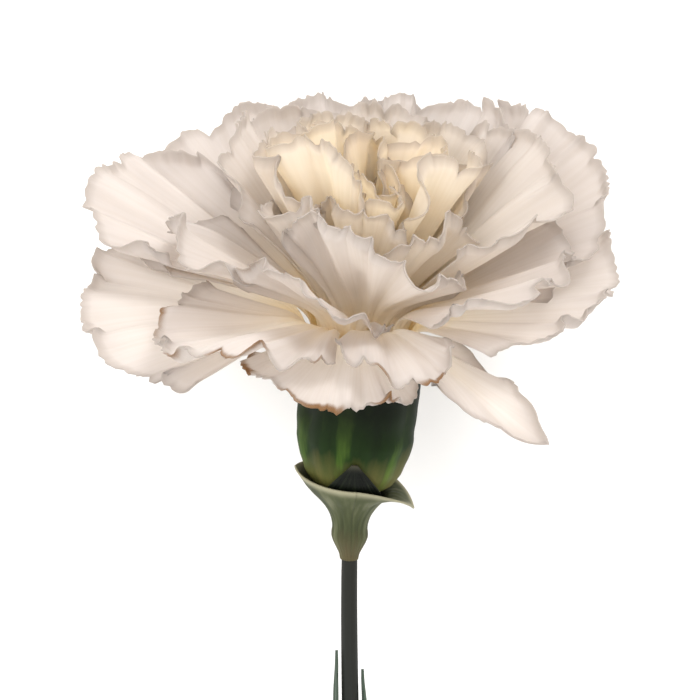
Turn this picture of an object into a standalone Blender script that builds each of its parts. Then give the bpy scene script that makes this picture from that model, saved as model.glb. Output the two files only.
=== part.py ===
# A cut white carnation lying on its side on a flat surface.
# Metres, +Z up. +Y runs along the flower from the cut stem to the bloom and the surface is z = 0.
# Everything is first laid out in the flower's own frame: x to the right, a up the flower's axis from the
# base of the calyx, and d away from the surface. place() then leans it over on to its petals and its stem,
# and rest_on_surface() centres it.

import math

import bmesh
import bpy
import numpy as np
from mathutils import Vector

MM = 0.001

# How it lies
TILT = math.radians(7.5)          # the axis rises this much from the cut end to the bloom
LEAN = math.radians(3.4)          # the bloom nods this much to the right of its stem
AXIS_HEIGHT = 21.65 * MM          # of the calyx base above the surface
PRESS_FROM = 7.0 * MM             # petals lower than this are pressed flatter by the surface
PRESS_DEPTH = 3.0 * MM            # how deep they would reach unpressed
PRESS_REST = 0.25 * MM            # where the deepest of them ends up

# Petals
PETALS = 36
GOLDEN_TURN = math.radians(137.5)
CROWDING = 0.8                    # under 1 leaves the inner petals more room than the outer ones
OUTERMOST_AZIMUTH = math.radians(42.0)
CLAW_BASE_RISE = 4.9 * MM
CLAW_LENGTHS = (18.5 * MM, 15.0 * MM)       # innermost and outermost petal
CLAW_HALF_WIDTH = 0.95 * MM
CLAW_BASE_RADII = (3.0 * MM, 5.6 * MM)
CLAW_MOUTH_RADII = (2.0 * MM, 8.2 * MM)
BEND_LENGTHS = (20.0 * MM, 9.0 * MM)      # over which a claw turns out into its blade
ROUNDED = (0.30, 2.4)                     # how far a blade's corners draw in, and how roundly
POINTED = (0.88, 0.95)                    # the same for the drooping outermost petal
PETAL_THICKNESS = 0.30 * MM
CLAW_SHARE = 0.25                         # of a petal's grid that goes to its claw
BEND_STEPS = 24                           # in which a blade's bend is added up
# How far petals open, in degrees, at each azimuth in degrees: one angle for each of PLACES, from the
# innermost petal, place 0, to the outermost, place 1
PLACES = (0.0, 0.15, 0.30, 0.45, 0.55, 0.65, 0.75, 0.88, 1.0)
OPENINGS = {
    -90: (3, 9, 17, 24, 29, 34, 39, 45, 52), -30: (3, 10, 19, 26, 31, 35, 39, 44, 52),
    0: (3, 11, 21, 30, 37, 44, 51, 60, 67), 25: (3, 12, 23, 36, 47, 56, 63, 70, 84),
    45: (3, 13, 26, 42, 62, 80, 86, 94, 120), 67: (3, 13, 24, 38, 54, 68, 90, 101, 116),
    90: (3, 12, 22, 34, 44, 52, 80, 98, 103), 115: (3, 11, 20, 30, 36, 43, 70, 97, 103),
    140: (3, 11, 19, 28, 37, 47, 66, 103, 109), 165: (3, 11, 18, 27, 37, 48, 65, 90, 100),
    187: (3, 11, 18, 27, 35, 45, 64, 78, 87), 207: (3, 10, 18, 25, 32, 40, 60, 72, 79),
    225: (3, 9, 17, 24, 28, 33, 39, 44, 52), 245: (3, 9, 17, 23, 27, 31, 36, 43, 49),
}
OPENING_NARROWNESS = 24.0                 # how closely an azimuth keeps to its own row of OPENINGS

# Calyx, receptacle, ovary
CALYX_PROFILE = (                          # rise and outer radius up the cup
    (0.0, 3.1), (0.5, 4.6), (1.4, 6.0), (3.2, 7.2), (5.5, 8.1), (8.5, 8.8),
    (12.0, 8.85), (16.0, 9.0), (19.0, 9.4), (21.0, 9.9), (23.0, 10.6),
)
CALYX_WALL = 0.45 * MM
CALYX_TUBE_RISE = 19.0 * MM
CALYX_TOOTH_RISE = 3.0 * MM
CALYX_TEETH = 5
OVARY_PROFILE = (                          # rise and radius, from its top down
    (14.0, 0.0), (13.9, 0.5), (13.0, 1.1), (11.5, 1.75), (9.5, 2.15), (7.5, 2.2), (5.6, 1.9), (4.8, 1.4),
    (4.8, 0.0),
)
STYLE_RADIUS = 0.32 * MM
STYLE_RISES = (14.3 * MM, 31.0 * MM)
STYLE_APART = 0.55 * MM                    # each from the axis, at its foot
STYLE_SPREAD = 0.35 * MM                   # more of that at its tip
STYLE_WAVE = 0.25 * MM

# Bracts: the midrib of each as rise and radius in mm, from its foot to its tip, and the margin of the lower
# pair, which stands round the calyx as a collar
UPPER_BRACT_MIDRIB = (
    (-3.6, 2.1), (-2.2, 2.75), (-1.0, 3.75), (-0.2, 4.9), (0.8, 6.1), (2.2, 7.15), (4.0, 8.05), (6.4, 8.95),
)
LEFT_BRACT_MIDRIB = (
    (-9.4, 1.75), (-8.3, 2.25), (-7.2, 2.6), (-5.8, 2.5), (-4.2, 2.85), (-2.6, 3.75), (-1.2, 5.0),
    (0.0, 6.2), (1.2, 7.2), (2.2, 7.9), (3.0, 8.5),
)
RIGHT_BRACT_MIDRIB = (
    (-9.4, 1.75), (-8.3, 2.25), (-7.2, 2.6), (-5.8, 2.5), (-4.2, 2.85), (-2.6, 3.75), (-1.4, 4.7),
    (-0.5, 5.7), (-0.5, 6.8), (-1.3, 8.1), (-2.6, 9.3),
)
COLLAR_MARGIN = (
    (-9.4, 1.75), (-8.3, 2.25), (-7.2, 2.6), (-5.8, 2.5), (-4.2, 2.85), (-2.6, 3.75), (-1.6, 4.6),
    (-0.7, 5.6), (0.2, 6.5), (1.1, 7.2), (1.9, 7.7),
)
BRACT_THICKNESS = 0.3 * MM
BRACT_NARROWS = (0.25, 0.55)               # from this share of its length, and how soon
BRACT_POINTEDNESS = 1.7                    # how quickly the midrib's path gives way to the margin's
# Each bract's azimuth and wrap in degrees, how much of its width it loses, its midrib and its margin
BRACTS = {
    "bract_upper_front": (90.0, 178.0, 0.94, UPPER_BRACT_MIDRIB, UPPER_BRACT_MIDRIB),
    "bract_upper_back": (-90.0, 178.0, 0.94, UPPER_BRACT_MIDRIB, UPPER_BRACT_MIDRIB),
    "bract_lower_left": (180.0, 168.0, 0.0, LEFT_BRACT_MIDRIB, COLLAR_MARGIN),
    "bract_lower_right": (0.0, 168.0, 0.0, RIGHT_BRACT_MIDRIB, COLLAR_MARGIN),
}

# Stem and leaves
STEM_LENGTH = 150.0 * MM
STEM_RADII = (1.12 * MM, 1.75 * MM)        # under the bloom and at the cut
STEM_STRAIGHTENS = 12.0 * MM               # over which the bloom's nod runs out
STEM_BOW = 1.6 * MM
NODE_DISTANCES = (48.0 * MM, 104.0 * MM)   # below the calyx
NODE_SWELL = 0.75 * MM
NODE_LENGTH = 2.0 * MM
RECEPTACLE_PROFILE = (                     # rise and radius, from the petals' feet down to the stem
    (4.5, 4.9), (4.1, 5.5), (3.0, 5.5), (1.7, 4.7), (0.9, 2.3), (0.0, 2.2), (-1.2, 1.95), (-3.0, 1.7),
    (-5.5, 1.5), (-8.0, 1.35), (-10.5, 1.15),
)
LEAF_THICKNESS = 0.5 * MM
LEAF_CHANNEL = 7.0 * MM                    # how much flatter than round the stem a blade becomes
LEAF_CLASP = 1.6 * MM                      # extra half width where a foot holds the stem
GAP = 0.3 * MM
# Each leaf's node, azimuth in degrees, and length and width in mm. Then, in mm, how far its middle and its
# tip stand off the stem, and how far its tip falls.
LEAVES = {
    "leaf_upper_left": (0, 172.0, 22.8, 3.0, -0.3, -0.7, 0.0),
    "leaf_upper_right": (0, -8.0, 19.6, 2.8, -0.3, -0.7, 0.0),
    "leaf_lower_left": (1, 160.0, 64.0, 5.0, 11.0, 34.0, 5.0),
    "leaf_lower_right": (1, -14.0, 60.0, 4.8, 13.0, 36.0, 5.4),
}


def clear_scene():
    for obj in list(bpy.data.objects):
        bpy.data.objects.remove(obj)


def make_material(name, colour, roughness):
    material = bpy.data.materials.new(name)
    material.use_nodes = True
    shader = material.node_tree.nodes["Principled BSDF"]
    shader.inputs["Base Color"].default_value = (*colour, 1.0)
    shader.inputs["Roughness"].default_value = roughness
    shader.inputs["Metallic"].default_value = 0.0
    return material


def add_object(name, mesh, material, collection):
    obj = bpy.data.objects.new(name, mesh)
    mesh.materials.clear()
    mesh.materials.append(material)
    collection.objects.link(obj)
    return obj


def smooth(mesh, angle=60.0):
    mesh.shade_smooth()
    mesh.set_sharp_from_angle(angle=math.radians(angle))


def smoothstep(t):
    t = np.clip(t, 0.0, 1.0)
    return t * t * (3.0 - 2.0 * t)


def press(height):
    """Heights near the surface squeezed together: nothing goes through it and nothing changes order."""
    span = PRESS_FROM + PRESS_DEPTH
    share = np.clip((PRESS_FROM - height) / span, 0.0, 1.6)
    room = PRESS_FROM - PRESS_REST
    slope = span / room
    pressed = PRESS_FROM - room * (slope * share - (slope - 1.0) * share ** 2)
    return np.where(height < PRESS_FROM, pressed, height)


def place(points, lean=1.0):
    """Flower frame points, rows of x, a, d, to the part's own axes. lean 0 leaves out the bloom's nod."""
    points = np.asarray(points, float)
    turn = LEAN * lean
    x = points[:, 0] * np.cos(turn) + points[:, 1] * np.sin(turn)
    a = points[:, 1] * np.cos(turn) - points[:, 0] * np.sin(turn)
    d = points[:, 2]
    y = a * math.cos(TILT) - d * math.sin(TILT)
    z = AXIS_HEIGHT + a * math.sin(TILT) + d * math.cos(TILT)
    return np.stack([x, y, z], axis=1)


def around(radius, azimuth, rise):
    """Flower frame points at a radius, an azimuth from the right towards the upper side, and a rise."""
    return np.stack([radius * np.cos(azimuth), rise + 0.0 * radius, radius * np.sin(azimuth)], axis=1)


def grid_object(name, columns, rows, point_of, material, collection, thickness, join_seam=False):
    """An open grid bent to point_of(across 0..1, along 0..1) and given its thickness."""
    mesh = bpy.data.meshes.new(name)
    bm = bmesh.new()
    bmesh.ops.create_grid(bm, x_segments=columns, y_segments=rows, size=0.5)
    coordinates = np.array([v.co for v in bm.verts])
    points = point_of(coordinates[:, 0] + 0.5, coordinates[:, 1] + 0.5)
    for vertex, point in zip(bm.verts, points):
        vertex.co = Vector(point)
    if join_seam:
        bmesh.ops.remove_doubles(bm, verts=bm.verts, dist=0.01 * MM)
    bmesh.ops.recalc_face_normals(bm, faces=bm.faces)
    bm.to_mesh(mesh)
    bm.free()
    smooth(mesh)
    obj = add_object(name, mesh, material, collection)
    solidify = obj.modifiers.new("thickness", "SOLIDIFY")
    solidify.thickness = thickness
    solidify.offset = 0.0
    return obj


# What each petal does of its own, counted from the outermost inwards: length in mm, then in degrees half
# its fan, its opening more than its layer's and its azimuth more, and how much longer it is on its left.
OWN_WAYS = {
    0: (34, 27, 3, 3, 0.12), 1: (37, 43, -2, 0, 0), 2: (39, 44, 0, 0, 0), 3: (26.4, 48, 3, 8, 0),
    4: (41, 42, -2, -8, 0), 5: (36, 46, 0, 0, 0), 6: (32, 46, -1, -11, 0), 7: (40, 40, 0, 0, 0),
    8: (27, 30, 0, 16, 0), 9: (43.5, 30, 4, -3, 0), 10: (42, 42, 0, 0, 0), 11: (27, 44, 0, 0, 0.1),
    12: (38, 38, 0, 0, 0), 13: (34, 40, 0, 0, 0), 14: (32, 34, 14, 0, 0), 15: (40, 42, 0, 0, 0),
    16: (29, 56, 0, 2, 0.14), 17: (36.5, 40, 0, 0, 0), 18: (38, 40, 0, 0, 0), 19: (27, 42, 0, 0, 0),
    20: (35.5, 38, 0, 0, 0), 21: (26, 38, 0, 0, 0), 22: (33, 36, 0, 0, 0), 23: (34, 34, 0, 0, 0),
    24: (26, 34, 0, 0, 0), 25: (33.5, 32, 0, 0, 0), 26: (32, 32, 0, 0, 0), 27: (33, 30, 0, 0, 0),
    28: (32.5, 28, 0, 0, 0), 29: (26, 28, 0, 0, 0), 30: (32.5, 23, 0, 0, 0), 31: (31, 22, 0, 0, 0),
    32: (27, 20, 0, 0, 0), 33: (30, 19, 0, 0, 0), 34: (27, 18, 0, 0, 0), 35: (26, 17, 0, 0, 0),
}


def petal_ways(index):
    """The driving values of one petal, index 0 the outermost."""
    length, fan, opening, turn, skew = OWN_WAYS[index]
    return {
        "place": (1.0 - (index + 0.5) / PETALS) ** CROWDING,
        "azimuth": OUTERMOST_AZIMUTH + index * GOLDEN_TURN + math.radians(turn),
        "length": length * MM,
        "fan": math.radians(fan),
        "opening": math.radians(opening),
        "skew": skew,
        "outline": POINTED if index == 0 else ROUNDED,
    }


def blend(pair, place_in_bloom):
    return pair[0] + (pair[1] - pair[0]) * place_in_bloom


def opening_angle(place_in_bloom, azimuth):
    """Nested at every azimuth: it only grows with the place, so that no two layers cross."""
    total, weights = 0.0, 0.0
    for degrees, angles in OPENINGS.items():
        weight = np.exp(OPENING_NARROWNESS * (np.cos(azimuth - math.radians(degrees)) - 1.0))
        total = total + weight * np.interp(place_in_bloom, PLACES, angles)
        weights = weights + weight
    return np.radians(total / weights)


def ripple_angle(place_in_bloom, azimuth, along):
    """The waves that all layers share, which is why they stay nested: long ones outside, folds inside."""
    outside = 0.07 * np.sin(5.0 * azimuth + 0.6)
    outside += 0.05 * np.sin(9.0 * azimuth + 2.0 + along / (9.0 * MM))
    inside = 0.16 * np.sin(4.0 * azimuth + 1.1 + along / (14.0 * MM)) + 0.07 * np.sin(7.0 * azimuth)
    share = smoothstep(np.asarray((place_in_bloom - 0.1) / 0.5))
    return (inside + (outside - inside) * share) * smoothstep(along / (14.0 * MM))


def petal_points(ways, across, along):
    """Flower frame points of a petal's middle surface: across is -1..1, along 0 (foot) to 1 (margin)."""
    place_in_bloom = ways["place"]
    in_claw = along < CLAW_SHARE
    ray = across * ways["fan"]
    drawn_in, roundness = ways["outline"]
    margin = ways["length"] * (1.0 + ways["skew"] * across) * (1.0 - drawn_in * np.abs(across) ** roundness)
    reach = np.where(in_claw, 0.0, (along - CLAW_SHARE) / (1.0 - CLAW_SHARE)) * margin
    side = across * CLAW_HALF_WIDTH + reach * np.sin(ray)
    forward = reach * np.cos(ray)

    mouth_radius = blend(CLAW_MOUTH_RADII, place_in_bloom)
    foot_radius = blend(CLAW_BASE_RADII, place_in_bloom)
    claw_length = blend(CLAW_LENGTHS, place_in_bloom)
    middle_opening = float(opening_angle(place_in_bloom, ways["azimuth"])) + ways["opening"]
    spread = max(math.sin(middle_opening), 0.2)
    from_apex = mouth_radius / spread
    slant = np.hypot(from_apex + forward, side)
    azimuth = ways["azimuth"] + np.arctan2(side, from_apex + forward) / spread
    distance = np.maximum(slant - from_apex, 0.0)

    bend_length = blend(BEND_LENGTHS, place_in_bloom)
    opening = opening_angle(place_in_bloom, azimuth) + ways["opening"]
    radius = np.full_like(across, mouth_radius)
    rise = np.full_like(across, CLAW_BASE_RISE + claw_length)
    for step in range(BEND_STEPS):
        at = distance * (step + 0.5) / BEND_STEPS
        angle = opening * smoothstep(at / bend_length) + ripple_angle(place_in_bloom, azimuth, at)
        radius += np.sin(angle) * distance / BEND_STEPS
        rise += np.cos(angle) * distance / BEND_STEPS

    up_claw = np.clip(along / CLAW_SHARE, 0.0, 1.0)
    claw_radius = foot_radius + (mouth_radius - foot_radius) * smoothstep(up_claw)
    claw_azimuth = ways["azimuth"] + side / np.maximum(claw_radius, 1.0 * MM)
    radius = np.where(in_claw, claw_radius, radius)
    azimuth = np.where(in_claw, claw_azimuth, azimuth)
    rise = np.where(in_claw, CLAW_BASE_RISE + claw_length * up_claw, rise)
    return around(radius, azimuth, rise)


def make_petals(material, collection):
    """All petals, from the outermost, petal_01, inwards, each a golden turn on from the last."""
    for index in range(PETALS):
        ways = petal_ways(index)

        def point_of(across, along, ways=ways):
            placed = place(petal_points(ways, across * 2.0 - 1.0, along))
            placed[:, 2] = press(placed[:, 2])
            return placed

        columns = 9 if index < 20 else 10
        grid_object(f"petal_{index + 1:02d}", columns, 9, point_of, material, collection, PETAL_THICKNESS)


def calyx_radius(rise):
    rises, radii = zip(*CALYX_PROFILE)
    return np.interp(rise / MM, rises, radii) * MM


def make_calyx(material, collection):
    """The ribbed cup, five-toothed at its mouth and open at its foot, where the stem comes through."""
    columns = CALYX_TEETH * 8

    def point_of(across, along):
        azimuth = across * math.tau
        tooth = np.abs(((across * CALYX_TEETH) % 1.0) * 2.0 - 1.0)
        top = CALYX_TUBE_RISE + CALYX_TOOTH_RISE * (1.0 - tooth) ** 0.9
        rise = top * along
        rib = 1.0 + 0.012 * np.cos(azimuth * 2 * CALYX_TEETH)
        return place(around((calyx_radius(rise) - CALYX_WALL / 2) * rib, azimuth, rise))

    return grid_object("calyx", columns, 8, point_of, material, collection, CALYX_WALL, join_seam=True)


def along_path(path, share):
    """Points at shares of a path's own length; path holds one row per point."""
    path = np.asarray(path, float)
    length = np.concatenate([[0.0], np.cumsum(np.linalg.norm(np.diff(path, axis=0), axis=1))])
    return np.stack([np.interp(share * length[-1], length, column) for column in path.T], axis=1)


def make_bract(name, material, collection):
    """A scale wrapped round the axis: its middle follows its midrib and its sides its margin."""
    azimuth_deg, wrap_deg, narrowing, midrib, margin = BRACTS[name]
    narrows_from, narrows = BRACT_NARROWS

    def point_of(across, along):
        sideways = across * 2.0 - 1.0
        middle = ((1.0 - np.abs(sideways)) ** BRACT_POINTEDNESS)[:, None]
        path = along_path(midrib, along) * middle + along_path(margin, along) * (1.0 - middle)
        up_point = np.clip((along - narrows_from) / (1.0 - narrows_from), 0.0, 1.0)
        half = math.radians(wrap_deg) / 2 * (1.0 - narrowing * up_point ** narrows)
        return place(around(path[:, 1] * MM, math.radians(azimuth_deg) + sideways * half, path[:, 0] * MM))

    return grid_object(name, 8, 12, point_of, material, collection, BRACT_THICKNESS)


def turned(name, profile, material, collection, steps=16):
    """A solid turned from a profile of rise and radius in mm, top to bottom, on the flower's axis."""
    mesh = bpy.data.meshes.new(name)
    mesh.from_pydata([(radius * MM, 0.0, rise * MM) for rise, radius in profile],
                     [(i, i + 1) for i in range(len(profile) - 1)], [])
    helper = bpy.data.objects.new(name + "_profile", mesh)
    collection.objects.link(helper)
    screw = helper.modifiers.new("turn", "SCREW")
    screw.steps = screw.render_steps = steps
    screw.use_merge_vertices = True
    screw.merge_threshold = 0.02 * MM
    bpy.context.view_layer.update()
    solid = bpy.data.meshes.new_from_object(helper.evaluated_get(bpy.context.evaluated_depsgraph_get()))
    bpy.data.objects.remove(helper)
    solid.name = name
    local = np.array([v.co for v in solid.vertices])
    placed = place(np.stack([local[:, 0], local[:, 2], -local[:, 1]], axis=1))
    for vertex, point in zip(solid.vertices, placed):
        vertex.co = Vector(point)
    smooth(solid)
    return add_object(name, solid, material, collection)


def tube(name, points, radii, material, collection, resolution=2):
    """A round stalk through placed points, with a radius at each."""
    curve = bpy.data.curves.new(name, "CURVE")
    curve.dimensions = "3D"
    curve.bevel_depth = 1.0
    curve.bevel_resolution = resolution
    curve.use_fill_caps = True
    spline = curve.splines.new("POLY")
    spline.points.add(len(points) - 1)
    for spot, point, radius in zip(spline.points, points, radii):
        spot.co = (*point, 1.0)
        spot.radius = radius
    curve.materials.append(material)
    obj = bpy.data.objects.new(name, curve)
    collection.objects.link(obj)
    return obj


def make_styles(material, collection):
    """The two thread-like styles that stand on the ovary."""
    shares = np.linspace(0.0, 1.0, 9)
    rises = STYLE_RISES[0] + (STYLE_RISES[1] - STYLE_RISES[0]) * shares
    for name, side in (("style_left", -1.0), ("style_right", 1.0)):
        sway = side * (STYLE_APART + STYLE_SPREAD * shares ** 2)
        points = place(np.stack([sway, rises, STYLE_WAVE * np.sin(4.0 * shares + side)], axis=1))
        radii = STYLE_RADIUS * (1.0 - 0.45 * shares ** 2)
        tube(name, points, radii, material, collection)


def stem_middle(below):
    """Flower frame points of the stem's middle line at distances below the calyx, to place with lean 0."""
    below = np.asarray(below, float)
    under = np.maximum(below, 0.0)
    nod = -math.tan(LEAN) * STEM_STRAIGHTENS * (1.0 - np.exp(-under / STEM_STRAIGHTENS))
    bow = STEM_BOW * np.sin(math.pi * under / STEM_LENGTH) ** 2
    inside = np.minimum(below, 0.0)
    return np.stack([nod + bow * 0.6 - inside * math.sin(LEAN), -below, bow], axis=1)


def stem_radius(below):
    """Its bare radius, with the swelling at each node."""
    share = below / STEM_LENGTH
    radius = STEM_RADII[0] + (STEM_RADII[1] - STEM_RADII[0]) * np.clip(share, 0.0, 1.0)
    for at in NODE_DISTANCES:
        radius = radius + NODE_SWELL * np.exp(-((below - at) / NODE_LENGTH) ** 2)
    return radius


def make_stem(material, collection):
    """The stalk from its cut end up to the receptacle that carries the calyx, the petals and the ovary."""
    rises, radii = (np.array(values) * MM for values in zip(*RECEPTACLE_PROFILE))
    swellings = [node + NODE_LENGTH * step for node in NODE_DISTANCES for step in (-1.5, -0.7, 0, 0.7, 1.5)]
    plain = np.linspace(2 * STEM_STRAIGHTENS, STEM_LENGTH, 8)
    distances = np.sort(np.concatenate([swellings, plain]))
    below = np.concatenate([-rises, distances])
    radius = np.concatenate([radii, stem_radius(distances)])
    tube("stem", place(stem_middle(below), lean=0.0), radius, material, collection, resolution=3)


def make_leaf(name, material, collection):
    """A narrow channelled leaf whose foot clasps the stem at a node and whose blade runs up and away."""
    node, azimuth_deg, length, width, middle_off, tip_off, fall = LEAVES[name]
    start = NODE_DISTANCES[node]
    azimuth = math.radians(azimuth_deg)
    outwards = np.array([math.cos(azimuth), 0.0, math.sin(azimuth)])
    sideways = np.array([-math.sin(azimuth), 0.0, math.cos(azimuth)])
    reach = math.sqrt(length ** 2 - tip_off ** 2) * MM
    clasp = float(stem_radius(start)) + GAP + LEAF_THICKNESS / 2

    def point_of(across, along):
        middle = stem_middle(start - reach * along)
        middle[:, 2] -= fall * MM * along ** 2.5
        stand_off = (middle_off * 2.0 * along * (1.0 - along) + tip_off * along ** 2) * MM
        outline = np.minimum(1.0, 0.35 + 0.9 * along) * np.clip((1.0 - along) * 2.2, 0.0, 1.0) ** 0.8
        half_width = width * MM / 2 * np.maximum(outline, 0.12)
        half_width += LEAF_CLASP * (1.0 - smoothstep(along / 0.12))
        channel = clasp + LEAF_CHANNEL * smoothstep(along / 0.35)
        turn = (across * 2.0 - 1.0) * half_width / channel
        out = clasp + stand_off - channel * (1.0 - np.cos(turn))
        side = channel * np.sin(turn)
        return place(middle + out[:, None] * outwards + side[:, None] * sideways, lean=0.0)

    return grid_object(name, 4, 12, point_of, material, collection, LEAF_THICKNESS)


def rest_on_surface(collection):
    """Shifts everything so that its lowest point is at z = 0 and its box is centred on the origin."""
    bpy.context.view_layer.update()
    graph = bpy.context.evaluated_depsgraph_get()
    low, high = np.full(3, np.inf), np.full(3, -np.inf)
    for obj in collection.objects:
        evaluated = obj.evaluated_get(graph)
        mesh = evaluated.to_mesh()
        points = np.array([obj.matrix_world @ v.co for v in mesh.vertices])
        low, high = np.minimum(low, points.min(axis=0)), np.maximum(high, points.max(axis=0))
        evaluated.to_mesh_clear()
    shift = Vector((-(low[0] + high[0]) / 2, -(low[1] + high[1]) / 2, -low[2]))
    for obj in collection.objects:
        obj.location = shift


def build():
    clear_scene()
    bloom = bpy.data.collections.new("cut_carnation")
    bpy.context.scene.collection.children.link(bloom)
    white = make_material("petal white", (0.90, 0.86, 0.78), 0.55)
    green = make_material("calyx green", (0.10, 0.17, 0.06), 0.45)
    pale = make_material("bract green", (0.24, 0.29, 0.14), 0.55)
    bloomed = make_material("stem green with bloom", (0.12, 0.16, 0.12), 0.6)
    cream = make_material("pistil cream", (0.80, 0.78, 0.55), 0.5)
    make_petals(white, bloom)
    make_calyx(green, bloom)
    for name in BRACTS:
        make_bract(name, pale, bloom)
    turned("ovary", OVARY_PROFILE, cream, bloom)
    make_styles(cream, bloom)
    make_stem(bloomed, bloom)
    for name in LEAVES:
        make_leaf(name, bloomed, bloom)
    rest_on_surface(bloom)


build()
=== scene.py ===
# A cut double carnation that lies on its side, dressed over its solid model.
# Pieces are laid out in the flower's own frame: x right, a up its axis from the foot of the calyx, and
# d away from the surface it lies on. inModel() turns that into the model's frame.
import math

import bmesh
import bpy
import numpy as np
from mathutils import Matrix, Vector


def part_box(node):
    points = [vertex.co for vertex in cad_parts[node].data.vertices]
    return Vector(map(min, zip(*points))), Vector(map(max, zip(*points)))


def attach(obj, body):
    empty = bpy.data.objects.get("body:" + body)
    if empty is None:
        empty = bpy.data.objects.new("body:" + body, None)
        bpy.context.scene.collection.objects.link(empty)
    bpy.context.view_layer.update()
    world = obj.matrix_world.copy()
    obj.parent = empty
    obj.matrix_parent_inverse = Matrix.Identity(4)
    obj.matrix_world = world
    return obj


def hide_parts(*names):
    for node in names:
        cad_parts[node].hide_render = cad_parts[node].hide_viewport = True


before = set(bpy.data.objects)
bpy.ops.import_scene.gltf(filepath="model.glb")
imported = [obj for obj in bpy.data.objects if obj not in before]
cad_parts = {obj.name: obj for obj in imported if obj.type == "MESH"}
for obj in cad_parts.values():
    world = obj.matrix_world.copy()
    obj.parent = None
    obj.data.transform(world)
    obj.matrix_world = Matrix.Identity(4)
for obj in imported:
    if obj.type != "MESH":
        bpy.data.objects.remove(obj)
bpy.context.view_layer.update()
mm = 0.001


# small helpers

def smoothStep(t):
    t = np.clip(t, 0.0, 1.0)
    return t * t * (3.0 - 2.0 * t)


def between(pair, share):
    return pair[0] + (pair[1] - pair[0]) * share


def wandering(rng, x, length):  # a smooth random curve over x, about -1 to 1, with waves of that length
    total = 0.0
    for stretch in (1.0, 0.62, 1.9):
        total = total + np.sin(math.tau * x / (length * stretch) + rng.uniform(0.0, math.tau))
    return total / 2.2


def throughPoints(path, share):  # a smooth curve through the rows of path, at shares of its length
    path = np.asarray(path, float)
    knots = np.concatenate([[0.0], np.cumsum(np.linalg.norm(np.diff(path, axis=0), axis=1))])
    slopes = np.gradient(path, knots, axis=0)
    at = np.clip(np.asarray(share, float), 0.0, 1.0) * knots[-1]
    i = np.clip(np.searchsorted(knots, at) - 1, 0, len(knots) - 2)
    gap = (knots[i + 1] - knots[i])[..., None]
    t = (at - knots[i])[..., None] / gap
    ends = path[i] * (2 * t**3 - 3 * t**2 + 1) + path[i + 1] * (3 * t**2 - 2 * t**3)
    return ends + gap * (slopes[i] * (t**3 - 2 * t**2 + t) + slopes[i + 1] * (t**3 - t**2))


def hexColour(code):  # sRGB hex to linear, with alpha
    parts = [int(code[i:i + 2], 16) / 255.0 for i in (1, 3, 5)]
    return (*[c / 12.92 if c <= 0.04045 else ((c + 0.055) / 1.055) ** 2.4 for c in parts], 1.0)


# how the flower lies, as its solid model does: lengths in mm, angles in degrees

lie = {"tilt": 7.5, "lean": 3.4, "axisHeight": 21.65, "pressFrom": 7.0, "pressDepth": 3.0, "pressRest": 0.4}
tilt = math.radians(lie["tilt"])
lean = math.radians(lie["lean"])


def press(height):  # petals near the surface are squeezed flatter, so none goes through it
    span = lie["pressFrom"] + lie["pressDepth"]
    room = lie["pressFrom"] - lie["pressRest"]
    share = np.clip((lie["pressFrom"] - height / mm) / span, 0.0, 1.45)
    slope = span / room
    pressed = lie["pressFrom"] - room * (slope * share - (slope - 1.0) * share ** 2)
    return np.where(height < lie["pressFrom"] * mm, pressed * mm, height)


def leaned(points, nod=1.0):  # flower frame points, x a d on the last axis, tilted on to the surface
    x0, a0, d = points[..., 0], points[..., 1], points[..., 2]
    x = x0 * math.cos(lean * nod) + a0 * math.sin(lean * nod)
    a = a0 * math.cos(lean * nod) - x0 * math.sin(lean * nod)
    y = a * math.cos(tilt) - d * math.sin(tilt)
    z = lie["axisHeight"] * mm + a * math.sin(tilt) + d * math.cos(tilt)
    return np.stack([x, y, z], axis=-1)


def around(radius, azimuth, rise):
    parts = np.broadcast_arrays(radius * np.cos(azimuth), rise, radius * np.sin(azimuth))
    return np.stack(parts, axis=-1)


cup = {  # the calyx: rise and outer radius up it, then its teeth
    "profile": ((0.0, 3.1), (0.5, 4.6), (1.4, 6.0), (3.2, 7.2), (5.5, 8.1), (8.5, 8.8),
                (12.0, 8.85), (16.0, 9.0), (19.0, 9.4), (21.0, 9.9), (23.0, 10.6)),
    "tubeRise": 19.0, "toothRise": 3.0, "teeth": 5, "wall": 0.45, "mainRibs": 10,
}


def cupRadius(rise):
    rises, radii = zip(*cup["profile"])
    return np.interp(rise / mm, rises, radii) * mm


def cupTop(turn):  # turn 0 to 1 around
    tooth = np.abs(((turn * cup["teeth"]) % 1.0) * 2.0 - 1.0)
    return (cup["tubeRise"] + cup["toothRise"] * (1.0 - tooth) ** 0.9) * mm


def boxCentre(low, high):
    return (np.array(low) + np.array(high)) / 2


# The solid cup's box tells where the model's origin is.
turns, shares = np.meshgrid(np.linspace(0, 1, 81), np.linspace(0, 1, 40))
ownCup = leaned(around(cupRadius(cupTop(turns) * shares), turns * math.tau, cupTop(turns) * shares)).reshape(-1, 3)
origin = boxCentre(*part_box("calyx")) - boxCentre(ownCup.min(axis=0), ownCup.max(axis=0))


def inModel(points, nod=1.0, pressed=False):
    placed = leaned(points, nod)
    if pressed:
        placed[..., 2] = press(placed[..., 2])
    return placed + origin


# camera, at the height above the flower's axis that it is seen from

view = {"above": 16.0, "distance": 450.0, "aim": (-0.3, 21.1, 0.0), "width": 101.5}


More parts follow.
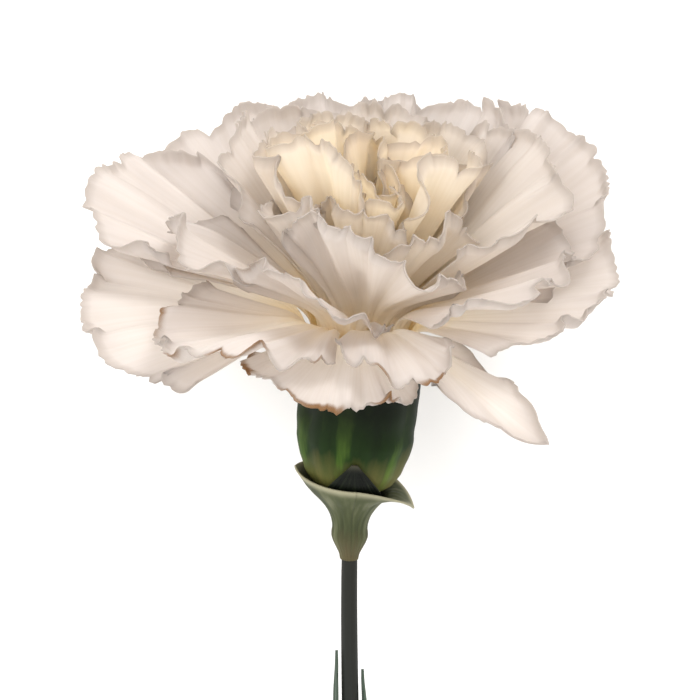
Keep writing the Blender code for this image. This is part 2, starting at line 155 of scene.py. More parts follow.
def makeCamera():
    aim = np.array(view["aim"]) * mm
    above = math.radians(view["above"])
    away = np.array([0.0, math.sin(above), math.cos(above)]) * view["distance"] * mm
    target, eye = (Vector(inModel(point, nod=0.0)) for point in (aim, aim + away))
    back = (eye - target).normalized()
    right = Vector((1, 0, 0))
    camera = bpy.data.objects.new("camera", bpy.data.cameras.new("camera"))
    camera.data.sensor_width = 36.0
    camera.data.lens = 36.0 * view["distance"] / view["width"]
    camera.matrix_world = Matrix((right, back.cross(right), back)).transposed().to_4x4()
    camera.location = eye
    bpy.context.scene.collection.objects.link(camera)
    bpy.context.scene.camera = camera


# meshes from grids

def gridPiece(name, points, values, closed=False):
    # points is rows by columns by 3, and values holds one number per point under each name
    rows, columns = points.shape[:2]
    index = np.arange(rows * columns).reshape(rows, columns)
    across = np.concatenate([index, index[:, :1]], axis=1) if closed else index
    faces = np.stack([across[:-1, :-1], across[:-1, 1:], across[1:, 1:], across[1:, :-1]], axis=-1)
    mesh = bpy.data.meshes.new(name)
    mesh.from_pydata(points.reshape(-1, 3).tolist(), [], faces.reshape(-1, 4).tolist())
    for key, value in values.items():
        layer = mesh.attributes.new(key, "FLOAT", "POINT")
        layer.data.foreach_set("value", np.broadcast_to(value, (rows, columns)).astype(np.float32).ravel())
    piece = bpy.data.objects.new(name, mesh)
    bpy.context.scene.collection.objects.link(piece)
    return piece


def closePoles(piece):  # rows of one point become one point, and faces look outwards
    shape = bmesh.new()
    shape.from_mesh(piece.data)
    bmesh.ops.remove_doubles(shape, verts=shape.verts, dist=1e-6)
    bmesh.ops.recalc_face_normals(shape, faces=shape.faces)
    shape.to_mesh(piece.data)
    shape.free()


def thicken(piece, wall):
    solidify = piece.modifiers.new("wall", "SOLIDIFY")
    solidify.thickness = wall * mm
    solidify.offset = 0.0


def finishPiece(piece, slot, material, *nodes):  # modifiers become plain mesh, then it joins the frame
    bpy.context.view_layer.update()
    made = piece.evaluated_get(bpy.context.evaluated_depsgraph_get())
    mesh = bpy.data.meshes.new_from_object(made)
    piece.modifiers.clear()
    piece.data = mesh
    mesh.name = piece.name
    mesh.materials.clear()
    mesh.materials.append(material)
    mesh.shade_smooth()
    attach(piece, "root")
    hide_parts(*nodes)


# trees of nodes

def addNode(tree, kind, inputs=None, **settings):
    node = tree.nodes.new(kind)
    for key, value in settings.items():
        setattr(node, key, value)
    for key, value in (inputs or {}).items():
        if isinstance(value, bpy.types.NodeSocket):
            tree.links.new(value, node.inputs[key])
        else:
            node.inputs[key].default_value = value
    return node


def setRamp(node, stops):
    ramp = node.color_ramp
    while len(ramp.elements) < len(stops):
        ramp.elements.new(0.5)
    for element, (position, code) in zip(ramp.elements, stops):
        element.position = position
        element.color = hexColour(code)


def surfaceTree(name, sizes):  # a Geometry Nodes tree with the mesh and these named numbers as its inputs
    tree = bpy.data.node_groups.new(name, "GeometryNodeTree")
    tree.interface.new_socket("Mesh", in_out="INPUT", socket_type="NodeSocketGeometry")
    for size, value in sizes.items():
        tree.interface.new_socket(size, in_out="INPUT", socket_type="NodeSocketFloat").default_value = value
    tree.interface.new_socket("Material", in_out="INPUT", socket_type="NodeSocketMaterial")
    tree.interface.new_socket("Mesh", in_out="OUTPUT", socket_type="NodeSocketGeometry")
    return tree, tree.nodes.new("NodeGroupInput")


def endTree(tree, mesh, material):
    realized = addNode(tree, "GeometryNodeRealizeInstances", {"Geometry": mesh})
    finished = addNode(tree, "GeometryNodeSetMaterial", {"Geometry": realized.outputs[0], "Material": material})
    addNode(tree, "NodeGroupOutput", {0: finished.outputs[0]})


def useTree(piece, tree, material, **sizes):
    modifier = piece.modifiers.new(tree.name, "NODES")
    modifier.node_group = tree
    for item in tree.interface.items_tree:
        if item.in_out == "INPUT" and item.name in sizes:
            modifier[item.identifier] = sizes[item.name]
        if item.in_out == "INPUT" and item.name == "Material":
            modifier[item.identifier] = material


def wrinkleTree():
    # Fine wrinkles that run out from a petal's claw to its margin, deepest at the margin.
    tree, given = surfaceTree("petalWrinkles", {"Depth": 0.0002, "Per turn": 40.0, "Seed": 0.0})
    ray = addNode(tree, "GeometryNodeInputNamedAttribute", {"Name": "ray"})
    along = addNode(tree, "GeometryNodeInputNamedAttribute", {"Name": "along"})
    turned = addNode(tree, "ShaderNodeMath", {0: ray.outputs[0], 1: given.outputs["Per turn"]}, operation="MULTIPLY")
    drawn = addNode(tree, "ShaderNodeMath", {0: along.outputs[0], 1: 2.2}, operation="MULTIPLY")
    where = addNode(tree, "ShaderNodeCombineXYZ",
                    {0: turned.outputs[0], 1: drawn.outputs[0], 2: given.outputs["Seed"]})
    noise = addNode(tree, "ShaderNodeTexNoise", {"Vector": where.outputs[0], "Scale": 1.0, "Detail": 3.0})
    level = addNode(tree, "ShaderNodeMath", {0: noise.outputs[0], 1: 0.5}, operation="SUBTRACT")
    grown = addNode(tree, "ShaderNodeMath", {0: level.outputs[0], 1: along.outputs[0]}, operation="MULTIPLY")
    deep = addNode(tree, "ShaderNodeMath", {0: grown.outputs[0], 1: given.outputs["Depth"]}, operation="MULTIPLY")
    normal = addNode(tree, "GeometryNodeInputNormal")
    offset = addNode(tree, "ShaderNodeVectorMath", {0: normal.outputs[0], "Scale": deep.outputs[0]},
                     operation="SCALE")
    moved = addNode(tree, "GeometryNodeSetPosition",
                    {"Geometry": given.outputs["Mesh"], "Offset": offset.outputs[0]})
    endTree(tree, moved.outputs[0], given.outputs["Material"])
    return tree


def ribTree():
    # Rounded ribs that run up a piece, counted across its own "turn" from 0 to 1.
    tree, given = surfaceTree("ribs", {"Height": 0.0002, "Count": 10.0, "Sharpness": 2.0})
    turn = addNode(tree, "GeometryNodeInputNamedAttribute", {"Name": "turn"})
    fade = addNode(tree, "GeometryNodeInputNamedAttribute", {"Name": "ribbed"})
    counted = addNode(tree, "ShaderNodeMath", {0: turn.outputs[0], 1: given.outputs["Count"]}, operation="MULTIPLY")
    angle = addNode(tree, "ShaderNodeMath", {0: counted.outputs[0], 1: math.pi}, operation="MULTIPLY")
    wave = addNode(tree, "ShaderNodeMath", {0: angle.outputs[0]}, operation="COSINE")
    bare = addNode(tree, "ShaderNodeMath", {0: wave.outputs[0]}, operation="ABSOLUTE")
    sharp = addNode(tree, "ShaderNodeMath", {0: bare.outputs[0], 1: given.outputs["Sharpness"]}, operation="POWER")
    faded = addNode(tree, "ShaderNodeMath", {0: sharp.outputs[0], 1: fade.outputs[0]}, operation="MULTIPLY")
    high = addNode(tree, "ShaderNodeMath", {0: faded.outputs[0], 1: given.outputs["Height"]}, operation="MULTIPLY")
    normal = addNode(tree, "GeometryNodeInputNormal")
    offset = addNode(tree, "ShaderNodeVectorMath", {0: normal.outputs[0], "Scale": high.outputs[0]},
                     operation="SCALE")
    moved = addNode(tree, "GeometryNodeSetPosition",
                    {"Geometry": given.outputs["Mesh"], "Offset": offset.outputs[0]})
    endTree(tree, moved.outputs[0], given.outputs["Material"])
    return tree


# materials

def newMaterial(name):
    material = bpy.data.materials.new(name)
    material.use_nodes = True
    tree = material.node_tree
    return material, tree, tree.nodes["Principled BSDF"]


def readValue(tree, name):
    return addNode(tree, "ShaderNodeAttribute", attribute_name=name).outputs["Fac"]


def mixed(tree, share, first, second, blend="MIX"):
    node = addNode(tree, "ShaderNodeMix", {0: share, 6: first, 7: second}, data_type="RGBA", blend_type=blend)
    return node.outputs[2]


def petalTissueMaterial():
    # Living petal: a thin matt skin of domed cells over wet tissue. It scatters light softly and lets much
    # of it through, so folds glow, warmest at the bloom's heart and where a petal narrows to its claw.
    material, tree, shader = newMaterial("petalTissue")
    along, rim, ray, heart = (readValue(tree, name) for name in ("along", "rim", "ray", "heart"))
    tone, dry = readValue(tree, "tone"), readValue(tree, "dry")
    # Both ramps run from a yellow-green claw to an ivory blade. The inner ramp is painted lighter and the outer one
    # greyer towards the margin: painted light and shade, which offset the deep shade in the bloom against the
    # better-lit outer petals.
    outer = addNode(tree, "ShaderNodeValToRGB", {0: along})
    setRamp(outer, ((0.0, "#FAEDC6"), (0.15, "#FFF4DF"), (0.38, "#FCF6EF"), (0.65, "#F0EAE6"), (1.0, "#DFD8D4")))
    inner = addNode(tree, "ShaderNodeValToRGB", {0: along})
    setRamp(inner, ((0.0, "#FDECBE"), (0.35, "#FFF5E0"), (0.62, "#FFFAF0"), (0.85, "#FFFCF7"), (1.0, "#F8F3EF")))
    base = mixed(tree, heart, outer.outputs[0], inner.outputs[0])
    rays = addNode(tree, "ShaderNodeMath", {0: ray, 1: 70.0}, operation="MULTIPLY")
    where = addNode(tree, "ShaderNodeCombineXYZ", {0: rays.outputs[0], 1: along, 2: tone})
    veins = addNode(tree, "ShaderNodeTexNoise", {"Vector": where.outputs[0], "Scale": 1.0, "Detail": 3.0})
    veinTone = addNode(tree, "ShaderNodeValToRGB", {0: veins.outputs[0]})
    setRamp(veinTone, ((0.32, "#F1EEE8"), (0.62, "#FFFFFF")))
    veined = mixed(tree, 0.3, base, veinTone.outputs[0], "MULTIPLY")
    edge = addNode(tree, "ShaderNodeMapRange", {0: rim, 1: 0.0, 2: 1.7, 3: 0.62, 4: 0.0})
    edged = mixed(tree, edge.outputs[0], veined, hexColour("#BDB3AB"))
    spots = addNode(tree, "ShaderNodeTexNoise", {"Scale": 900.0, "Detail": 4.0})
    browned = addNode(tree, "ShaderNodeMath", {0: dry, 1: spots.outputs[0]}, operation="MULTIPLY")
    burnt = addNode(tree, "ShaderNodeMapRange", {0: browned.outputs[0], 1: 0.14, 2: 0.36, 3: 0.0, 4: 0.92})
    colour = mixed(tree, burnt.outputs[0], edged, hexColour("#99703F"))
    bump = addNode(tree, "ShaderNodeBump", {"Strength": 0.15, "Distance": 0.0002, "Height": veins.outputs[0]})
    for key, value in (("Roughness", 0.62), ("IOR", 1.38), ("Sheen Weight", 0.15), ("Sheen Roughness", 0.5)):
        shader.inputs[key].default_value = value
    tree.links.new(colour, shader.inputs["Base Color"])
    tree.links.new(bump.outputs[0], shader.inputs["Normal"])
    glow = mixed(tree, heart, hexColour("#FFFFFC"), hexColour("#FFF9E8"))
    warm = mixed(tree, 0.85, colour, glow, "MULTIPLY")
    through = addNode(tree, "ShaderNodeBsdfTranslucent", {"Color": warm, "Normal": bump.outputs[0]})
    share = addNode(tree, "ShaderNodeMapRange", {0: heart, 1: 0.0, 2: 1.0, 3: 0.58, 4: 0.76})
    skin = addNode(tree, "ShaderNodeMixShader", {0: share.outputs[0], 1: shader.outputs[0], 2: through.outputs[0]})
    tree.links.new(skin.outputs[0], tree.nodes["Material Output"].inputs[0])
    return material


def greenTissueMaterial(name, dark, mid, light, foot, roughness, coat, streaks, shade=0.0):
    # Smooth green skin under a thin wax: dark, with paler streaks along its veins and an olive foot. Where shade is
    # given, the top is painted darker: painted shade where the petals overhang it.
    material, tree, shader = newMaterial(name)
    turn, along = readValue(tree, "turn"), readValue(tree, "along")
    turned = addNode(tree, "ShaderNodeMath", {0: turn, 1: streaks}, operation="MULTIPLY")
    where = addNode(tree, "ShaderNodeCombineXYZ", {0: turned.outputs[0], 1: along, 2: 0.0})
    noise = addNode(tree, "ShaderNodeTexNoise", {"Vector": where.outputs[0], "Scale": 1.0, "Detail": 4.0})
    streak = addNode(tree, "ShaderNodeValToRGB", {0: noise.outputs[0]})
    setRamp(streak, ((0.30, dark), (0.52, mid), (0.74, light)))
    mottle = addNode(tree, "ShaderNodeTexNoise", {"Scale": 700.0, "Detail": 5.0})
    uneven = addNode(tree, "ShaderNodeMath", {0: noise.outputs[0], 1: 0.7, 2: along}, operation="MULTIPLY_ADD")
    footShare = addNode(tree, "ShaderNodeMapRange", {0: uneven.outputs[0], 1: 0.36, 2: 0.70, 3: 0.85, 4: 0.0})
    footed = mixed(tree, footShare.outputs[0], streak.outputs[0], hexColour(foot))
    # painted shade: the far end of the piece is darkened towards its dark colour, by the share shade
    paintedShadeShare = addNode(tree, "ShaderNodeMapRange", {0: uneven.outputs[0], 1: 0.66, 2: 1.05, 3: 0.0, 4: shade})
    footed = mixed(tree, paintedShadeShare.outputs[0], footed, hexColour(dark))
    flecks = addNode(tree, "ShaderNodeValToRGB", {0: mottle.outputs[0]})
    setRamp(flecks, ((0.35, "#C9CBBE"), (0.65, "#FFFFFF")))
    living = mixed(tree, 0.6, footed, flecks.outputs[0], "MULTIPLY")
    colour = mixed(tree, readValue(tree, "dried"), living, hexColour("#ABA68B"))
    bump = addNode(tree, "ShaderNodeBump", {"Strength": 0.25, "Distance": 0.00015, "Height": noise.outputs[0]})
    for key, value in (("Roughness", roughness), ("Specular IOR Level", 0.12), ("Coat Weight", coat),
                       ("Coat Roughness", 0.35)):
        shader.inputs[key].default_value = value
    tree.links.new(colour, shader.inputs["Base Color"])
    tree.links.new(bump.outputs[0], shader.inputs["Normal"])
    return material


def paintedBoardMaterial():
    # Matt white painted board: an even, faintly rolled finish.
    material, tree, shader = newMaterial("paintedBoard")
    grain = addNode(tree, "ShaderNodeTexNoise", {"Scale": 260.0, "Detail": 3.0})
    tone = addNode(tree, "ShaderNodeValToRGB", {0: grain.outputs[0]})
    setRamp(tone, ((0.0, "#F4F3F1"), (1.0, "#FAF9F8")))
    tree.links.new(tone.outputs[0], shader.inputs["Base Color"])
    shader.inputs["Roughness"].default_value = 0.8
    shader.inputs["Specular IOR Level"].default_value = 0.2
    return material


# petals

petals = {  # the rule that all petals share: lengths in mm, angles in degrees
    "count": 36, "goldenTurn": 137.5, "crowding": 0.8, "firstAzimuth": 42.0,
    "footRise": 4.9, "clawLengths": (18.5, 15.0), "clawHalfWidth": 0.95,
    "footRadii": (3.0, 5.6), "mouthRadii": (2.0, 8.2), "bendLengths": (20.0, 9.0), "bendSteps": 24,
    "rounded": (0.30, 2.4), "pointed": (0.88, 0.95), "thickness": 0.22, "pointSpacing": 0.4,
    "pleatDepth": 1.0, "pleatLength": 9.5, "frillDepth": 0.8, "frillLength": 4.4, "frillReach": 5.0,
    "toothDepth": 0.75, "toothLength": 1.4, "lobeDepth": 0.9, "lobeLength": 11.0,
    "rollReach": 2.6, "rollDepth": 1.5, "wrinkleDepth": 0.13, "wrinklesPerTurn": 60.0,
}
openings = {  # how far petals open at each azimuth, from the bud's middle (place 0) out to its rim (place 1)
    "places": (0.0, 0.15, 0.30, 0.45, 0.55, 0.65, 0.75, 0.88, 1.0), "narrowness": 24.0,
    -90: (3, 9, 17, 24, 29, 34, 39, 45, 52), -30: (3, 10, 19, 26, 31, 35, 39, 44, 52),
    0: (3, 11, 21, 30, 37, 44, 51, 60, 67), 25: (3, 12, 23, 36, 47, 56, 63, 70, 84),
    45: (3, 13, 26, 42, 62, 80, 86, 94, 120), 67: (3, 13, 24, 38, 54, 68, 90, 101, 116),
    90: (3, 12, 22, 34, 44, 52, 80, 98, 103), 115: (3, 11, 20, 30, 36, 43, 70, 97, 103),
    140: (3, 11, 19, 28, 37, 47, 66, 103, 109), 165: (3, 11, 18, 27, 37, 48, 65, 90, 100),
    187: (3, 11, 18, 27, 35, 45, 64, 78, 87), 207: (3, 10, 18, 25, 32, 40, 60, 72, 79),
    225: (3, 9, 17, 24, 28, 33, 39, 44, 52), 245: (3, 9, 17, 23, 27, 31, 36, 43, 49),
}
ownWays = {  # from the outermost in: length, half fan, opening more, turn more, skew, curl, dryness
    0: (34, 27, 3, 3, 0.12, 0, 0.3), 1: (37, 43, -2, 0, 0, 8, 0), 2: (39, 44, 0, 0, 0, 10, 0),
    3: (26.4, 48, 3, 8, 0, 8, 1.0), 4: (41, 42, -2, -8, 0, 4, 0), 5: (36, 46, 0, 0, 0, 6, 0),
    6: (32, 46, -1, -11, 0, 10, 0.7), 7: (40, 40, 0, 0, 0, 8, 0), 8: (27, 30, 0, 16, 0, 14, 0.8),
    9: (43.5, 30, 4, -3, 0, 4, 0), 10: (42, 42, 0, 0, 0, 8, 0), 11: (27, 44, 0, 0, 0.1, 20, 0.4),
    12: (38, 38, 0, 0, 0, 8, 0), 13: (34, 40, 0, 0, 0, 6, 0), 14: (32, 34, 14, 0, 0, 30, 0),
    15: (40, 42, 0, 0, 0, 8, 0), 16: (29, 56, 0, 2, 0.14, 10, 0), 17: (36.5, 40, 0, 0, 0, 8, 0),
    18: (38, 40, 0, 0, 0, 8, 0), 19: (27, 42, 0, 0, 0, 12, 0), 20: (35.5, 38, 0, 0, 0, 8, 0),
    21: (26, 38, 0, 0, 0, 10, 0), 22: (33, 36, 0, 0, 0, 6, 0), 23: (34, 34, 0, 0, 0, 6, 0),
    24: (26, 34, 0, 0, 0, 10, 0), 25: (33.5, 32, 0, 0, 0, 6, 0), 26: (32, 32, 0, 0, 0, 6, 0),
    27: (33, 30, 0, 0, 0, 6, 0), 28: (32.5, 28, 0, 0, 0, 6, 0), 29: (26, 28, 0, 0, 0, 8, 0),
    30: (32.5, 23, 0, 0, 0, 6, 0), 31: (31, 22, 0, 0, 0, 6, 0), 32: (27, 20, 0, 0, 0, 6, 0),
    33: (30, 19, 0, 0, 0, 6, 0), 34: (27, 18, 0, 0, 0, 6, 0), 35: (26, 17, 0, 0, 0, 6, 0),
}
openingAzimuths = [key for key in openings if isinstance(key, int)]


def openingAngle(placeInBloom, azimuth):
    weights = [np.exp(openings["narrowness"] * (np.cos(azimuth - math.radians(key)) - 1.0))
               for key in openingAzimuths]
    angles = [np.interp(placeInBloom, openings["places"], openings[key]) for key in openingAzimuths]
    return np.radians(sum(w * a for w, a in zip(weights, angles)) / sum(weights))


def rippleAngle(placeInBloom, azimuth, along):  # waves that neighbours share, so that they stay nested
    outside = 0.07 * np.sin(5.0 * azimuth + 0.6)
    outside = outside + 0.05 * np.sin(9.0 * azimuth + 2.0 + along / (9.0 * mm))
    inside = 0.16 * np.sin(4.0 * azimuth + 1.1 + along / (14.0 * mm)) + 0.07 * np.sin(7.0 * azimuth)
    share = smoothStep((placeInBloom - 0.1) / 0.5)
    return (inside + (outside - inside) * share) * smoothStep(along / (14.0 * mm))


def petalWays(index):
    inwards = index / (petals["count"] - 1)
    length, fan, opening, turn, skew, curl, dry = ownWays[index]
    azimuth = petals["firstAzimuth"] + index * petals["goldenTurn"] + turn
    return {
        "place": (1.0 - (index + 0.5) / petals["count"]) ** petals["crowding"], "length": length * mm,
        "azimuth": math.radians(azimuth), "fan": math.radians(fan), "opening": math.radians(opening),
        "curl": math.radians(curl), "dry": dry, "skew": skew, "inwards": inwards,
    }


def marginTeeth(rng, onMargin):  # how far the margin draws back, in metres, along it in mm
    turn = onMargin / petals["toothLength"] + 0.6 * wandering(rng, onMargin, 9.0)
    teeth = 1.0 - np.abs(np.sin(math.pi * turn)) ** 0.8
    depth = petals["toothDepth"] * (0.65 + 0.55 * wandering(rng, onMargin, 6.0))
    lobes = petals["lobeDepth"] * (0.5 + 0.5 * wandering(rng, onMargin, petals["lobeLength"]))
    notch = 1.5 * (1.0 - np.abs(np.sin(math.pi * (onMargin / 13.0 + rng.uniform())))) ** 7
    return (depth * teeth + lobes + notch) * mm


def petalPiece(index, material, wrinkles):
    ways = petalWays(index)
    rng = np.random.default_rng(500 + index)
    inBloom, fan, length = ways["place"], ways["fan"], ways["length"]
    columns = max(33, int(2 * fan * length / mm / petals["pointSpacing"]))
    rows = int(length / mm / petals["pointSpacing"] / 2.0)
    across = np.linspace(-1, 1, columns)[None, :]
    share = (1.0 - (1.0 - np.linspace(0, 1, rows)) ** 1.5)[:, None]
    ray = across * fan
    onMargin = ray * length / mm
    rounding, roundness = petals["pointed"] if index == 0 else petals["rounded"]
    outline = length * (1.0 + ways["skew"] * across) * (1.0 - rounding * np.abs(across) ** roundness)
    teeth = marginTeeth(rng, onMargin)
    reach = share * outline - teeth * share ** 9
    mouth = between(petals["mouthRadii"], inBloom) * mm
    clawLength = between(petals["clawLengths"], inBloom)
    side = across * petals["clawHalfWidth"] * mm + reach * np.sin(ray)
    forward = reach * np.cos(ray)
    spread = max(math.sin(float(openingAngle(inBloom, ways["azimuth"])) + ways["opening"]), 0.2)
    slant = np.hypot(mouth / spread + forward, side)
    azimuth = ways["azimuth"] + np.arctan2(side, mouth / spread + forward) / spread
    distance = np.maximum(slant - mouth / spread, 0.0)

    opening = openingAngle(inBloom, azimuth) + ways["opening"]
    curl = ways["curl"] * (0.5 + 0.9 * wandering(rng, onMargin, 40.0))
    bend = between(petals["bendLengths"], inBloom) * mm
    radius = np.full_like(distance, mouth)
    rise = np.full_like(distance, (petals["footRise"] + clawLength) * mm)
    for step in range(petals["bendSteps"]):
        at = distance * (step + 0.5) / petals["bendSteps"]
        angle = opening * smoothStep(at / bend) + rippleAngle(inBloom, azimuth, at)
        angle = angle + curl * smoothStep((at / distance.max() - 0.62) / 0.38)
        radius = radius + np.sin(angle) * distance / petals["bendSteps"]
        rise = rise + np.cos(angle) * distance / petals["bendSteps"]
    blade = around(radius, azimuth, rise)

    # The margin is longer than the space it has, so the blade is pleated, frilled and rolled over there.
    along = np.broadcast_to(share, distance.shape)
    rim = (1.0 - along) * outline / mm
    pleat = petals["pleatDepth"] * rng.uniform(0.7, 1.3) * along ** 1.3
    phase = math.tau * onMargin / petals["pleatLength"] + 1.2 * wandering(rng, onMargin, 23.0) + 0.03 * rim
    zone = np.exp(-(rim / petals["frillReach"]) ** 1.3)
    frill = petals["frillDepth"] * np.clip(0.4 + 0.7 * wandering(rng, onMargin, 14.0), 0.0, 1.3) * zone
    fine = math.tau * onMargin / petals["frillLength"] + 1.5 * wandering(rng, onMargin, 8.0)
    roll = petals["rollDepth"] * np.clip(0.35 + 0.8 * wandering(rng, onMargin, 19.0), -0.25, 1.2)
    lifted = pleat * np.sin(phase) + frill * np.sin(fine)
    lifted = lifted - roll * (1.0 - smoothStep(rim / petals["rollReach"])) ** 1.5
    shifted = -0.45 * pleat * np.cos(phase) * zone - 0.4 * frill * np.cos(fine)
    down = np.gradient(blade, axis=0)
    over = np.gradient(blade, axis=1)
    over = over / np.maximum(np.linalg.norm(over, axis=-1, keepdims=True), 1e-9)
    normal = np.cross(down, over)
    normal = normal / np.maximum(np.linalg.norm(normal, axis=-1, keepdims=True), 1e-9)
    blade = blade + (normal * lifted[..., None] + over * shifted[..., None]) * mm

    # the claw under the blade, inside the calyx
    up = np.linspace(0, 1, 9)[:-1][:, None]
    foot = between(petals["footRadii"], inBloom) * mm
    clawRadius = foot + (mouth - foot) * smoothStep(up) + 0.0 * across
    clawSide = across * petals["clawHalfWidth"] * mm
    clawRise = (petals["footRise"] + clawLength * up) * mm
    claw = around(clawRadius, ways["azimuth"] + clawSide / np.maximum(clawRadius, mm), clawRise)

    points = np.concatenate([claw, blade])
    clawRows = np.zeros((len(up), columns))
    brown = ways["dry"] * np.exp(-(rim / 1.3) ** 2) * np.clip(0.45 + 0.75 * wandering(rng, onMargin, 13.0), 0, 1)
    values = {
        "along": np.concatenate([clawRows, along]),
        "rim": np.concatenate([clawRows + 40.0, rim]),
        "ray": np.concatenate([clawRows + ray, along * 0.0 + ray]),
        "dry": np.concatenate([clawRows, brown]),
        # heart sets how much of the lighter inner colour a petal takes: painted light against the shade deep in the
        # bloom
        "tone": rng.uniform(0.2, 1.0), "heart": smoothStep((ways["inwards"] - 0.35) / 0.6),
    }
    name = f"petal_{index + 1:02d}"
    piece = gridPiece(name + "_skin", inModel(points, pressed=True), values)
    useTree(piece, wrinkles, material, **{
        "Depth": petals["wrinkleDepth"] * mm, "Per turn": petals["wrinklesPerTurn"] / math.tau, "Seed": index * 3.7,
    })
    thicken(piece, petals["thickness"])
    finishPiece(piece, "petal", material, name)


# calyx and bracts

def calyxPiece(material, ribs):
    turn = np.linspace(0, 1, 281)[None, :-1]
    share = np.linspace(0, 1, 70)[:, None]
    azimuth = turn * math.tau
    rise = cupTop(turn) * share
    rng = np.random.default_rng(11)
    bulge = 1.0 + 0.022 * np.sin(2 * azimuth + 0.4) * share + 0.012 * wandering(rng, turn * 100, 20.0)
    bulge = bulge + 0.014 * wandering(rng, share * 20.0 + 2.0 * np.cos(azimuth), 7.0)
    radius = (cupRadius(rise) - cup["wall"] / 2 * mm) * bulge
    piece = gridPiece("calyx_cup", inModel(around(radius, azimuth, rise)), {
        "turn": turn + 0.0 * share, "along": share + 0.0 * turn,
        "ribbed": smoothStep(share / 0.15) * smoothStep((1.02 - share) / 0.1) + 0.0 * turn,
    }, closed=True)
    useTree(piece, ribs, material, Height=0.22 * mm, Count=float(cup["mainRibs"]), Sharpness=3.0)
    thicken(piece, cup["wall"])
    finishPiece(piece, "calyx", material, "calyx")


bracts = {  # rises and radii in mm, then each bract: azimuth, wrap, narrowing, midrib, margin, lift
    "upperMidrib": ((-3.6, 2.1), (-2.2, 2.75), (-1.0, 3.75), (-0.2, 4.9), (0.8, 6.1), (2.2, 7.15),
                    (4.0, 8.05), (6.4, 8.95)),
    "leftMidrib": ((-10.9, 1.25), (-10.1, 1.4), (-9.2, 1.8), (-8.3, 2.25), (-7.2, 2.6), (-5.8, 2.5),
                   (-4.2, 2.85), (-2.6, 3.75), (-1.2, 5.0), (0.0, 6.2), (1.2, 7.2), (2.2, 7.9), (3.0, 8.5)),
    "rightMidrib": ((-10.9, 1.25), (-10.1, 1.4), (-9.2, 1.8), (-8.3, 2.25), (-7.2, 2.6), (-5.8, 2.5),
                    (-4.2, 2.85), (-2.6, 3.75), (-1.4, 4.7), (-0.5, 5.7), (-0.5, 6.8), (-1.3, 8.1), (-2.6, 9.3)),
    "collarMargin": ((-10.9, 1.25), (-10.1, 1.4), (-9.2, 1.8), (-8.3, 2.25), (-7.2, 2.6), (-5.8, 2.5),
                     (-4.2, 2.85), (-2.6, 3.75), (-1.6, 4.6), (-0.7, 5.6), (0.2, 6.5), (1.1, 7.2), (1.9, 7.7)),
    "scales": {
        "bract_upper_front": (90, 178, 0.97, "upperMidrib", "upperMidrib", 0.0),
        "bract_upper_back": (-90, 178, 0.97, "upperMidrib", "upperMidrib", 0.0),
        "bract_lower_left": (180, 188, 0.0, "leftMidrib", "collarMargin", 0.06),
        "bract_lower_right": (0, 180, 0.0, "rightMidrib", "collarMargin", -0.06),
    },
    "narrowsFrom": 0.25, "narrows": 0.55, "pointedness": 1.7, "thickness": 0.26,
}


def bractPiece(name, material, ribs):
    azimuthAt, wrap, narrowing, midrib, margin, lift = bracts["scales"][name]
    share = np.linspace(0, 1, 70)
    across = np.linspace(-1, 1, 81)
    middle = ((1.0 - np.abs(across)) ** bracts["pointedness"])[None, :, None]
    path = throughPoints(bracts[midrib], share)[:, None] * middle
    path = (path + throughPoints(bracts[margin], share)[:, None] * (1.0 - middle)) * mm
    upPoint = np.clip((share - bracts["narrowsFrom"]) / (1.0 - bracts["narrowsFrom"]), 0.0, 1.0)
    half = math.radians(wrap) / 2 * (1.0 - narrowing * upPoint ** bracts["narrows"])
    dried = 0.1 if narrowing else 0.75  # the collar's margin is papery, the inner pair's hardly
    azimuth = math.radians(azimuthAt) + across[None, :] * half[:, None]
    points = around(path[..., 1] + lift * mm, azimuth, path[..., 0])
    below = np.maximum(-path[..., 0], 0.0)
    points[..., 0] += stemMiddle(below)[..., 0] + below * math.sin(lean)  # the foot stays round the stem
    piece = gridPiece(name + "_scale", inModel(points), {
        "turn": (across[None, :] + 1) / 2, "along": share[:, None],
        "dried": dried * np.exp(-(share[:, None] * 15.0 - 15.0) ** 2 / 0.8), "ribbed": smoothStep((1 - share) / 0.2)[:, None],
    })
    useTree(piece, ribs, material, Height=0.06 * mm, Count=14.0, Sharpness=2.0)
    thicken(piece, bracts["thickness"])
    finishPiece(piece, "bract", material, name)


# stem, leaves and pistil

stem = {
    "length": 150.0, "radii": (1.12, 1.75), "straightens": 12.0, "bow": 1.6, "nodes": (48.0, 104.0),
    "nodeSwell": 0.75, "nodeLength": 2.0,
    "receptacle": ((4.5, 4.9), (4.1, 5.5), (3.0, 5.5), (1.7, 4.7), (0.9, 2.3), (0.0, 2.2), (-1.2, 1.95),
                   (-3.0, 1.7), (-5.5, 1.5), (-8.0, 1.35), (-10.5, 1.15)),
}


def stemMiddle(below):
    under = np.maximum(below, 0.0)
    straightens = stem["straightens"] * mm
    nod = -math.tan(lean) * straightens * (1.0 - np.exp(-under / straightens))
    bow = stem["bow"] * mm * np.sin(math.pi * under / (stem["length"] * mm)) ** 2
    inside = np.minimum(below, 0.0)
    return np.stack([nod + bow * 0.6 - inside * math.sin(lean), -below, bow], axis=-1)


def stemRadius(below):
    radius = between(stem["radii"], np.clip(below / (stem["length"] * mm), 0.0, 1.0)) * mm
    for at in stem["nodes"]:
        radius = radius + stem["nodeSwell"] * mm * np.exp(-((below / mm - at) / stem["nodeLength"]) ** 2)
    return radius


